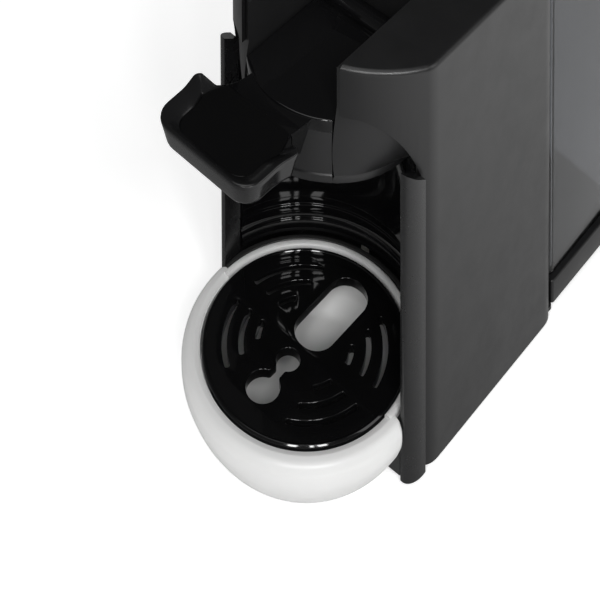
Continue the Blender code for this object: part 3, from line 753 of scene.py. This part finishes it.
bottom = []
for drop, shrink in ((RIM_HEIGHT, 0.9), (4.0, 0.3), (3.2, 0.0), (0.7, 0.0), (0.2, 0.3)):
    ring = []
    for i in range(49):
        angle = math.radians(-90 + 180 * i / 48)
        reach = head_radius - shrink
        ring.append(
            (reach * math.sin(angle), head_centre[1] - reach * math.cos(angle), RIM_LOW + RIM_HEIGHT - drop)
        )
    ring.append((ring[-1][0], 0.5, ring[-1][2]))
    ring.append((ring[0][0], 0.5, ring[0][2]))
    bottom.append(ring)
top = [(x, y, shell_high.z - 3.0) for x, y, z in sections[-1]]
head = piece_from("head_skin", loft(bottom + sections + [top]))
carve(
    head,
    block(-29.8, 29.8, -160, -5, head_low.z + 3, 230),
    bar((-31.5, HINGE_Y, HINGE_Z), (31.5, HINGE_Y, HINGE_Z), 2.3),
)
soften(head, 0.35, 3, 32)
finish_piece(head, SATIN_SOFT, "housing", "head_gloss", "head_housing")
floor_arc = []
FLOOR_RADIUS = 43.0
for i in range(33):
    angle = math.radians(270 - 43 + 86 * i / 32)
    x = head_centre[0] + FLOOR_RADIUS * math.cos(angle)
    floor_arc.append((x, head_centre[1] + FLOOR_RADIUS * math.sin(angle)))
floor_arc += [(29.6, -5.2), (-29.6, -5.2)]
head_floor = piece_from("head_floor", slab(floor_arc, head_low.z, head_low.z + 3, 0.5, 0.3, 3))
carve(head_floor, bar((*SPOUT_CENTRE, 120), (*SPOUT_CENTRE, 150), 12.0, 64))
shade(head_floor, 40)
finish_piece(head_floor, MATT, "housing", "dark_plastic")

# ---------------------------------------------------------------- lid: apron, top plate, tongue
LID_HALF = 29.2
PLATE_RADIUS_TOP = 46.7
apron_angle = math.degrees(math.asin(LID_HALF / head_radius))
LID_TOP = lid_high.z
PLATE_TOP = LID_TOP - 7.3
apron_profile = fillet(
    [
        (43.6, head_low.z + 0.6, 0.3),
        (46.9, head_low.z + 0.6, 1.4),
        (47.0, head_low.z + 4.9, 0.6),
        (46.3, head_low.z + 5.5, 0.3),
        (46.6, PLATE_TOP - 0.9, 0.3),
        (43.6, PLATE_TOP - 0.9, 0.3),
    ],
    4,
)


def rising(r, z, angle):
    """Lifts the apron's lower edge towards its two ends."""
    share = min(abs(r * math.cos(math.radians(angle))) / 30.0, 1.0)
    return r, z + 2.5 * share * share * (3 - 2 * share) * max(min((172 - z) / 20, 1), 0)


apron = piece_from(
    "lid_apron", turned(apron_profile, head_centre, 270 - apron_angle, 2 * apron_angle, 64, rising)
)
soften(apron, 0.3, 2, 50)
finish_piece(apron, SATIN_SOFT, "lid", "head_gloss")

front_arc = []
for i in range(25):
    angle = math.radians(270 - apron_angle + 2 * apron_angle * i / 24)
    x = head_centre[0] + PLATE_RADIUS_TOP * math.cos(angle)
    front_arc.append((x, head_centre[1] + PLATE_RADIUS_TOP * math.sin(angle), 0))
plate_outline = fillet(front_arc + [(LID_HALF, -9.5, 2), (-LID_HALF, -9.5, 2)], 3)
lid_plate = piece_from("lid_plate", slab(plate_outline, PLATE_TOP - 6.5, PLATE_TOP, 0.4, 0.7, 3))
carve(lid_plate, bar((-LID_HALF, HINGE_Y, HINGE_Z), (LID_HALF, HINGE_Y, HINGE_Z), 5.5, 48), operation="UNION")
carve(lid_plate, bar((-40, HINGE_Y, HINGE_Z), (40, HINGE_Y, HINGE_Z), 2.3))
shade(lid_plate, 35)
finish_piece(lid_plate, GLOSS, "lid", "head_gloss")


def mirrored(half_plan):
    """A rounded outline from one half of it."""
    return fillet([(-x, y, r) for x, y, r in half_plan] + half_plan[::-1], 8)


tip = lid_low.y + 0.5


def tongue_plan(depth, slope=0.0):
    """Plan of the tongue drawn in by a depth, with a further slope down its two sides."""
    return mirrored(
        [
            (22.0, -93.0 - 1.1 * depth, 4),
            (26.0 - 0.45 * depth, -97.0 - depth, 5),
            (35.0 - 0.95 * depth - slope, -101.5 - 0.8 * depth, 4 - 0.45 * depth),
            (32.6 - depth - slope, -112.0 - 0.2 * depth, 30),
            (32.2 - depth - slope, tip + depth, 17 - depth),
        ]
    )


TONGUE_UNDER = 172.6


def open_rear(x, y, z):
    """Lets the rim down to the dish's floor where the neck leaves it."""
    share = min(max((y + 108.0) / 7.0, 0.0), 1.0)
    inside = min(max((31.5 - abs(x)) / 6.0, 0.0), 1.0)
    share = share * share * (3 - 2 * share) * inside
    return (x, y, z - max(z - (LID_TOP - 5.2), 0) * share)


rings = []
for depth, slope, z in (
    (4.6, 0.0, TONGUE_UNDER + 0.1),
    (3.4, 0.0, TONGUE_UNDER + 0.3),
    (2.6, 0.0, TONGUE_UNDER + 1.0),
    (2.2, 0.0, TONGUE_UNDER + 2.1),
    (0.5, 0.0, LID_TOP - 3.2),
    (0.0, 0.0, LID_TOP - 1.2),
    (0.1, 0.0, LID_TOP - 0.5),
    (0.45, 0.0, LID_TOP - 0.1),
    (0.9, 0.0, LID_TOP),
    (1.5, 0.0, LID_TOP - 0.2),
    (5.4, 3.0, LID_TOP - 2.9),
    (6.0, 3.0, LID_TOP - 3.6),
    (6.2, 3.0, LID_TOP - 6.0),
):
    rings.append([open_rear(x, y, z) for x, y in tongue_plan(depth, slope)])
tongue = piece_from("lid_tongue", loft(rings))
shade(tongue, 35)
finish_piece(tongue, LEVER, "lid", "dark_plastic", "lid_frame")

dish = mirrored(
    [
        (20.6, -93.4, 2),
        (23.0, -98.0, 5),
        (25.6, -104.6, 4),
        (23.4, -113.0, 20),
        (22.9, tip + 6.1, 11),
    ]
)
dish_middle = Vector((0, -116))
rings = []
dish_steps = ((0.99, 5.8), (1.0, 4.4), (0.995, 4.0), (0.98, 3.88), (0.94, 3.95), (0.7, 4.1), (0.35, 4.2))
for share, drop in dish_steps:
    rings.append([tuple(dish_middle.lerp(Vector(p), share)) + (LID_TOP - drop,) for p in dish])
inlay = piece_from("lid_inlay", loft(rings))
shade(inlay, 40)
finish_piece(inlay, INSET, "lid", "niche_gloss", "lid_inset")


def neck_ring(y, top, low, spread):
    """Cross-section of the neck: hollow along its top, narrower below."""
    half_top, edge, middle = top
    half_low, under = low
    points = []
    for i in range(17):
        x = -half_top + 2 * half_top * i / 16
        share = (x / half_top) ** 2
        points.append((x, y - spread * (1 - share), middle + (edge - middle) * share))
    for i in range(9):
        x = half_low - 2 * half_low * i / 8
        points.append((x, y - spread * (1 - (x / half_top) ** 2), under))
    return points


neck = [
    neck_ring(-103.0, (25.0, LID_TOP - 4.6, LID_TOP - 4.8), (24.5, 173.4), 0.0),
    neck_ring(-97.0, (22.8, LID_TOP - 4.5, LID_TOP - 4.6), (21.0, 171.8), 0.0),
    neck_ring(-92.5, (21.6, 180.2, 179.8), (18.5, 167.5), 1.0),
    neck_ring(-86.5, (20.8, 178.4, 177.8), (16.5, 162.0), 1.5),
    neck_ring(-80.0, (20.6, 177.4, 176.9), (15.0, 158.0), 2.5),
    neck_ring(-75.0, (20.6, 177.0, 176.8), (14.2, 155.5), 5.0),
]
throat = piece_from("lid_neck", loft(neck))
soften(throat, 0.6, 3, 40)
finish_piece(throat, GLOSS, "lid", "head_gloss")

# ---------------------------------------------------------------- spout
spout_profile = [
    (7.6, spout_low.z, 0.4),
    (9.6, spout_low.z, 0.6),
    (11.5, 133, 2),
    (11.5, 138.6, 0.6),
    (15.9, 139, 0.5),
    (15.9, 141.6, 0.5),
    (11.6, 141.6, 0.3),
    (11.6, spout_high.z, 0.3),
    (8.4, spout_high.z, 0.4),
]
spout = piece_from("spout_nozzle", turned(fillet(spout_profile, 4), SPOUT_CENTRE, steps=96))
shade(spout, 40)
finish_piece(spout, MATT, "housing", "dark_plastic", "spout")

# ---------------------------------------------------------------- tank, cover and dock
tank_plan = rectangle(tank_low.x, tank_high.x, tank_low.y, tank_high.y, (4, 4, 14, 14), 10)
tank = piece_from("tank_body", slab(tank_plan, tank_low.z, cover_low.z - 0.4, 1.5, 0.5, 4))
inner_plan = inset(tank_plan, 2.0)
carve(
    tank,
    slab(inner_plan, tank_low.z + 2.5, 230, 2.0, 0, 4),
    bar((0, TANK_PORT_Y, 10), (0, TANK_PORT_Y, 30), 3.6, 48),
)
carve(
    tank,
    block(-25, -21, 125, 132.8, 190, tank_high.z),
    block(21, 25, 125, 132.8, 190, tank_high.z),
    operation="UNION",
)
carve(tank, bar((-30, COVER_PIN_Y, COVER_PIN_Z), (30, COVER_PIN_Y, COVER_PIN_Z), 1.8))
soften(tank, 0.3, 2, 40)
finish_piece(tank, SMOKED, "tank", "tank_plastic", "water_tank")

cover_plan = rectangle(cover_low.x, cover_high.x, cover_low.y, 124.4, (4, 4, 6, 6), 8)
cover = piece_from("tank_cover_skin", slab(cover_plan, cover_low.z, 201.4, 0.4, 1.0, 4))
carve(
    cover,
    block(-20, 20, 120, 128, 198.8, 201),
    bar((-20.4, COVER_PIN_Y, COVER_PIN_Z), (20.4, COVER_PIN_Y, COVER_PIN_Z), 2.9, 40),
    operation="UNION",
)
carve(
    cover,
    bar((-30, COVER_PIN_Y, COVER_PIN_Z), (30, COVER_PIN_Y, COVER_PIN_Z), 1.8),
    block(20.4, 25.7, 122, 130, 195, 210),
    block(-25.7, -20.4, 122, 130, 195, 210),
)
soften(cover, 0.25, 2, 40)
finish_piece(cover, SATIN, "tank_cover", "dark_plastic", "tank_lid")

dock_plan = rectangle(dock_low.x, dock_high.x, dock_low.y, dock_high.y, (1.6, 1.6, 15, 15), 10)
dock = piece_from("dock_skin", slab(dock_plan, dock_low.z, dock_high.z, 0.8, 1.0, 4))
carve(
    dock,
    bar((0, TANK_PORT_Y, 13), (0, TANK_PORT_Y, 30), 9.0, 48),
    block(2, 10, 50, 97, -5, 11.5),
    bar((-40, 120, 10.6), (-40, 150, 10.6), 5.3, 40),
)
soften(dock, 0.3, 2, 40)
finish_piece(dock, SATIN, "housing", "dark_plastic", "tank_dock")

# ---------------------------------------------------------------- button and its light ring
button_profile = [
    (0, button_low.z, 0),
    (8.5, button_low.z, 0.3),
    (8.5, button_high.z, 0.9),
    (6.6, button_high.z, 0.6),
    (5.6, button_high.z - 0.5, 1.5),
    (0, button_high.z - 0.7, 0),
]
button = piece_from("button_cap", turned(fillet(button_profile, 5), BUTTON_CENTRE, steps=96))
shade(button, 40)
finish_piece(button, CHROME, "button", "chrome_trim", "start_button")
glow_profile = fillet(
    [
        (9.2, glow_low.z, 0.2),
        (11.9, glow_low.z, 0.3),
        (11.9, glow_high.z, 0.6),
        (9.2, glow_high.z, 0.4),
    ],
    4,
)
glow = piece_from("button_ring", turned(glow_profile, BUTTON_CENTRE, steps=96))
shade(glow, 40)
finish_piece(glow, PALE, "housing", "pale_plastic", "led_ring")

# ---------------------------------------------------------------- carried-over nodes
CARRIED = {
    MATT: ("base_plate", "rocker_frame", "power_rocker", "mains_inlet", "start_switch"),
    RUBBER: (
        "foot_front_left",
        "foot_front_right",
        "foot_rear_left",
        "foot_rear_right",
        "pump_mount_lower",
        "pump_mount_upper",
    ),
    STEEL: (
        "screw_front_left",
        "screw_front_right",
        "screw_rear_left",
        "screw_rear_right",
        "hinge_pin",
        "tank_lid_pin",
        "pierce_unit",
    ),
    CAST: ("thermoblock",),
    PALE: ("flow_meter", "pump"),
    SEAL: ("dock_seal", "pierce_seal", "tank_valve"),
    HOSE: ("hose_tank", "hose_pump", "hose_heater"),
    BOARD: ("control_board",),
    LEVER: ("board_relay", "pod_holder"),
}
for look, names in CARRIED.items():
    for name in names:
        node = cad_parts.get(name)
        if node is None:
            continue
        for slot in node.material_slots:
            slot.material = look

# ---------------------------------------------------------------- floor, light and camera
# The floor glows a little so that it comes out white. Glossy reflections see a darker floor, whose own
# glow rises to the right. The world is white to the camera, an even fill for matt surfaces and a soft
# ramp for glossy ones.
FLOOR_HALF = 9000
floor = piece_from("floor", block(-FLOOR_HALF, FLOOR_HALF, -FLOOR_HALF, FLOOR_HALF, -40, 0))
floor_look = Look("pale_floor")
mirrored_ray = floor_look.add("ShaderNodeLightPath").outputs["Is Glossy Ray"]
pale = floor_look.blend(floor_look.noise(3.0, 3.0), (0.86, 0.86, 0.86), (0.90, 0.90, 0.90))
tone = floor_look.add("ShaderNodeMix")
tone.data_type = "RGBA"
tone.inputs["B"].default_value = (0.02, 0.02, 0.02, 1)
floor_look.link(mirrored_ray, tone.inputs["Factor"])
floor_look.link(pale, tone.inputs["A"])
floor_look.link(tone.outputs["Result"], floor_look.shader.inputs["Base Color"])
across_floor = floor_look.add("ShaderNodeVectorMath")
across_floor.operation = "DOT_PRODUCT"
across_floor.inputs[1].default_value = (1.0, 0.35, 0.0)
floor_look.link(floor_look.place, across_floor.inputs[0])
bounce = floor_look.add("ShaderNodeMapRange")
bounce.inputs["From Min"].default_value = 0.0
bounce.inputs["From Max"].default_value = 0.36
bounce.inputs["To Min"].default_value = 0.24
bounce.inputs["To Max"].default_value = 1.25
floor_look.link(across_floor.outputs["Value"], bounce.inputs["Value"])
glow_level = floor_look.add("ShaderNodeMix")
glow_level.data_type = "FLOAT"
glow_level.inputs["A"].default_value = 0.46
floor_look.link(mirrored_ray, glow_level.inputs["Factor"])
floor_look.link(bounce.outputs["Result"], glow_level.inputs["B"])
floor_look.link(glow_level.outputs["Result"], floor_look.shader.inputs["Emission Strength"])
floor_look.shader.inputs["Emission Color"].default_value = (1, 1, 1, 1)
floor_look.shader.inputs["Roughness"].default_value = 0.9
floor_look.shader.inputs["Specular IOR Level"].default_value = 0.1
floor.data.materials.append(floor_look.material)

world = bpy.data.worlds.new("studio")
bpy.context.scene.world = world
world.use_nodes = True
tree = world.node_tree
tree.nodes.clear()
direction = tree.nodes.new("ShaderNodeTexCoord")
facing = tree.nodes.new("ShaderNodeVectorMath")
facing.operation = "DOT_PRODUCT"
facing.inputs[1].default_value = Vector((0.68, -0.73, -0.7)).normalized()
level = tree.nodes.new("ShaderNodeMapRange")
level.inputs["From Min"].default_value = -0.75
level.inputs["From Max"].default_value = 0.6
level.inputs["To Min"].default_value = 0.04
level.inputs["To Max"].default_value = 0.16
soft, fill, clear = [tree.nodes.new("ShaderNodeBackground") for _ in range(3)]
for light, strength in ((soft, 1.0), (fill, 0.18), (clear, 1.0)):
    light.inputs["Color"].default_value = (1, 1, 1, 1)
    light.inputs["Strength"].default_value = strength
path = tree.nodes.new("ShaderNodeLightPath")
matt = tree.nodes.new("ShaderNodeMixShader")
mix = tree.nodes.new("ShaderNodeMixShader")
out = tree.nodes.new("ShaderNodeOutputWorld")
tree.links.new(direction.outputs["Generated"], facing.inputs[0])
tree.links.new(facing.outputs["Value"], level.inputs["Value"])
tree.links.new(level.outputs["Result"], soft.inputs["Strength"])
tree.links.new(path.outputs["Is Camera Ray"], mix.inputs[0])
tree.links.new(path.outputs["Is Diffuse Ray"], matt.inputs[0])
tree.links.new(soft.outputs[0], matt.inputs[1])
tree.links.new(fill.outputs[0], matt.inputs[2])
tree.links.new(matt.outputs[0], mix.inputs[1])
tree.links.new(clear.outputs[0], mix.inputs[2])
tree.links.new(mix.outputs[0], out.inputs[0])

middle = (cad_box[0] + cad_box[1]) / 2


def lamp(name, azimuth, elevation, distance, width, height, power, target=None):
    """A soft box at an angle round the machine, aimed at it. Azimuth 0 is in front, 90 to the right."""
    data = bpy.data.lights.new(name, "AREA")
    data.shape = "RECTANGLE"
    data.size = width
    data.size_y = height
    data.energy = power
    made = bpy.data.objects.new(name, data)
    a, e = math.radians(azimuth), math.radians(elevation)
    away = Vector((math.sin(a) * math.cos(e), -math.cos(a) * math.cos(e), math.sin(e)))
    aim = middle if target is None else target
    made.location = aim + away * distance
    made.rotation_mode = "QUATERNION"
    made.rotation_quaternion = away.to_track_quat("Z", "Y")
    bpy.context.scene.collection.objects.link(made)
    return made


niche_middle = Vector((cup[0], cup[1], 60)) * MM
lamp("key", -20, 78, 1.7, 1.2, 1.2, 6.5)
lamp("side", 112, 35, 1.6, 0.8, 1.2, 5)
lamp("strip_right", 60, 43, 1.6, 0.20, 0.45, 7, niche_middle)
lamp("strip_middle", 49, 43, 1.6, 0.08, 0.45, 2.8, niche_middle)
lamp("strip_left", 29, 43, 1.6, 0.20, 0.45, 7, niche_middle)

# The camera is a view camera: it looks down at the tray while its back stays almost upright, so the
# columns stay parallel. The slant is in the camera's parent inverse, not in a lens shift, so a view that
# takes the camera off its rig doesn't keep it.
VIEW_AZIMUTH = math.radians(43.03)
TILT = math.radians(3.5)
ROLL = math.radians(-0.23)
DISTANCE = 0.9036
LENS = 142.45
DISC_ACROSS, DISC_DROP = 0.017885, 0.907705
MIDDLE_ACROSS, MIDDLE_DROP = 0.015186, 0.88470
right = Vector((math.cos(VIEW_AZIMUTH), math.sin(VIEW_AZIMUTH), 0))
ahead = Vector((-math.sin(VIEW_AZIMUTH), math.cos(VIEW_AZIMUTH), 0))
upright = Vector((0, 0, 1))
forward = math.cos(TILT) * ahead - math.sin(TILT) * upright
up = math.sin(TILT) * ahead + math.cos(TILT) * upright
across = math.cos(ROLL) * right + math.sin(ROLL) * up
rise = -math.sin(ROLL) * right + math.cos(ROLL) * up
to_disc = DISC_ACROSS * across - DISC_DROP * rise + forward
to_middle = MIDDLE_ACROSS * across - MIDDLE_DROP * rise + forward
eye = Vector((cup[0], cup[1], disc_top)) * MM - DISTANCE * to_disc
back = -to_middle / to_middle.length
rig = bpy.data.objects.new("camera_rig", None)
bpy.context.scene.collection.objects.link(rig)
camera = bpy.data.objects.new("camera", bpy.data.cameras.new("camera"))
bpy.context.scene.collection.objects.link(camera)
camera.data.sensor_width = 36
camera.data.lens = LENS
camera.data.clip_end = 50
camera.parent = rig
camera.matrix_parent_inverse = Matrix(
    (
        (across.x, rise.x, back.x, eye.x),
        (across.y, rise.y, back.y, eye.y),
        (across.z, rise.z, back.z, eye.z),
        (0, 0, 0, 1),
    )
)
bpy.context.scene.camera = camera
bpy.context.scene.view_settings.view_transform = "Standard"
bpy.context.scene.view_settings.look = "None"
